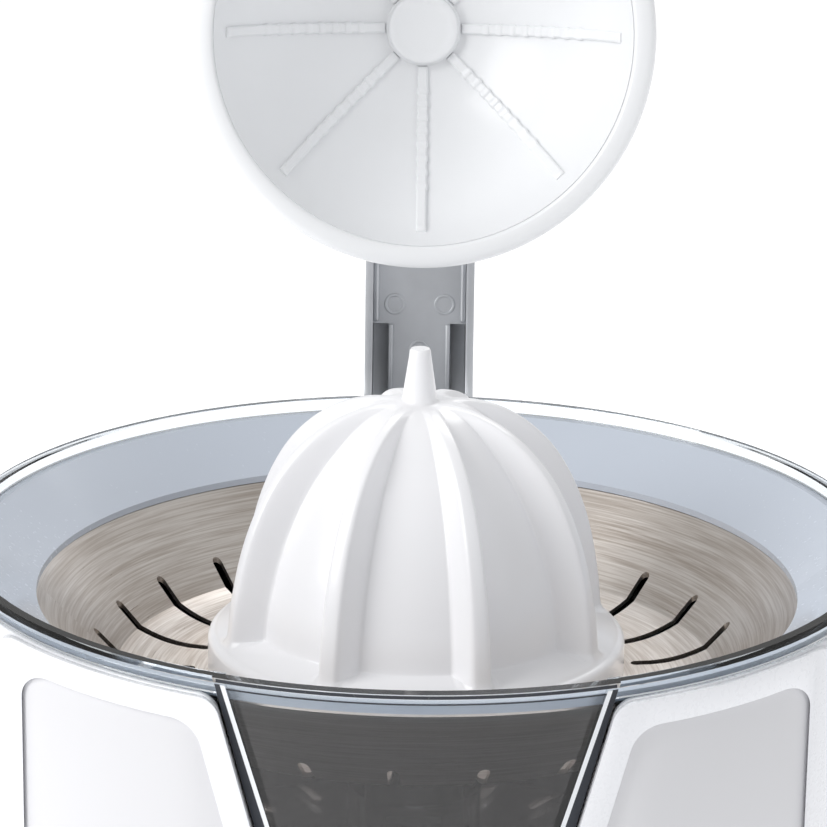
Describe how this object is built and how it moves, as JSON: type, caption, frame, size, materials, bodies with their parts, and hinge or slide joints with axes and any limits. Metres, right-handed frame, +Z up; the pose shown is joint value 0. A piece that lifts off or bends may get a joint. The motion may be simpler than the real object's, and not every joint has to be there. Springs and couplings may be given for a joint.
{
  "type": "citrus press juicer",
  "caption": "Lever-arm electric citrus press with a ribbed cone, slotted steel strainer, clear juice bowl with a front window, and a hinged arm that carries a domed press cup.",
  "frame": {"origin": "where the cone's spin axis meets the table top that the feet stand on", "axes": "+Z up along the spin axis, -Y to the front where the spout and window are, arm raised at the back"},
  "size_m": [0.1916, 0.4009, 0.3907],
  "materials": {
    "housing_white": "gloss moulded",
    "panel_white": "satin moulded",
    "dark_plastic": "matte moulded",
    "rubber": "matte",
    "screw_steel": "turned",
    "steel_plate": "stamped",
    "bush_bronze": "sintered bronze",
    "gear_plastic": "moulded nylon",
    "clear_plastic": "clear, polished",
    "spout_plastic": "gloss moulded",
    "tray_plastic": "gloss moulded",
    "brushed_steel": "brushed round the axis",
    "collar_plastic": "gloss moulded",
    "cone_white": "gloss moulded",
    "arm_metal": "die-cast, satin",
    "grip_plastic": "soft satin",
    "cup_white": "gloss moulded"
  },
  "bodies": {
    "root": {"base_plate": "dark_plastic", "rubber_feet": "rubber", "base_screws": "screw_steel", "base_cover": "housing_white", "tray_well": "housing_white", "ballast_plate": "steel_plate", "column_shell": "housing_white", "hinge_tower": "housing_white", "column_hatch": "housing_white", "hatch_screws": "screw_steel", "cord_gland": "dark_plastic", "head_shell": "housing_white", "head_liner": "dark_plastic", "cheek_band_left": "housing_white", "cheek_band_right": "housing_white", "cheek_panel_left": "panel_white", "cheek_panel_right": "panel_white", "deck": "dark_plastic", "gearbox_case": "dark_plastic", "spindle_bush": "bush_bronze", "shaft_seal": "rubber", "idler_axle": "screw_steel", "motor_case": "screw_steel", "motor_bushes": "bush_bronze", "stator_core": "steel_plate", "hinge_bracket": "arm_metal", "hinge_pin": "screw_steel", "pin_caps": "screw_steel"},
    "drip_tray": {"drip_tray": "tray_plastic"},
    "drip_grid": {"drip_grid": "brushed_steel"},
    "motor_rotor": {"motor_rotor": "steel_plate", "motor_pinion": "gear_plastic"},
    "idler": {"idler_gear": "gear_plastic"},
    "drive_spindle": {"spindle": "screw_steel", "output_gear": "gear_plastic"},
    "juice_bowl": {"juice_bowl": "clear_plastic", "spout_pins": "screw_steel"},
    "spout": {"drip_stop_spout": "spout_plastic"},
    "strainer": {"strainer_collar": "collar_plastic", "strainer_dish": "brushed_steel"},
    "small_cone": {"small_cone": "cone_white"},
    "large_cone": {"large_cone": "cone_white"},
    "lever_arm": {"arm_shell": "arm_metal", "arm_liner": "arm_metal", "arm_grip": "grip_plastic", "hinge_bushes": "bush_bronze", "press_cup": "cup_white", "cup_ribs": "cup_white", "cup_cap": "cup_white"}
  },
  "joints": [
    {"name": "arm_hinge", "type": "hinge", "parent": "root", "child": "lever_arm", "pos_m": [0, 0.11, 0.216], "axis": [-1, 0, 0], "range_deg": [-98, 0]},
    {"name": "bowl_lift", "type": "slide", "parent": "root", "child": "juice_bowl", "axis": [0, 0, 1], "range_m": [0, 0.09]},
    {"name": "spout_tilt", "type": "hinge", "parent": "juice_bowl", "child": "spout", "pos_m": [0, -0.095, 0.1715], "axis": [-1, 0, 0], "range_deg": [0, 18]},
    {"name": "strainer_lift", "type": "slide", "parent": "juice_bowl", "child": "strainer", "axis": [0, 0, 1], "range_m": [0, 0.035]},
    {"name": "cone_spin", "type": "hinge", "parent": "strainer", "child": "small_cone", "pos_m": [0, 0, 0.22], "axis": [0, 0, 1], "continuous": true},
    {"name": "large_cone_lift", "type": "slide", "parent": "small_cone", "child": "large_cone", "axis": [0, 0, 1], "range_m": [0, 0.04]},
    {"name": "motor_spin", "type": "hinge", "parent": "root", "child": "motor_rotor", "pos_m": [0, 0.072, 0.12], "axis": [0, 0, 1], "continuous": true},
    {"name": "idler_spin", "type": "hinge", "parent": "root", "child": "idler", "pos_m": [0, 0.036, 0.17], "axis": [0, 0, 1], "continuous": true},
    {"name": "spindle_spin", "type": "hinge", "parent": "root", "child": "drive_spindle", "pos_m": [0, 0, 0.2], "axis": [0, 0, 1], "continuous": true},
    {"name": "tray_lift", "type": "slide", "parent": "root", "child": "drip_tray", "axis": [0, 0, 1], "range_m": [0, 0.03]},
    {"name": "grid_lift", "type": "slide", "parent": "drip_tray", "child": "drip_grid", "axis": [0, 0, 1], "range_m": [0, 0.02]}
  ],
  "couplings": [
    {"joint": "idler_spin", "follows": "motor_spin", "ratio": -0.24138},
    {"joint": "spindle_spin", "follows": "motor_spin", "ratio": 0.068966},
    {"joint": "cone_spin", "follows": "motor_spin", "ratio": 0.068966}
  ]
}
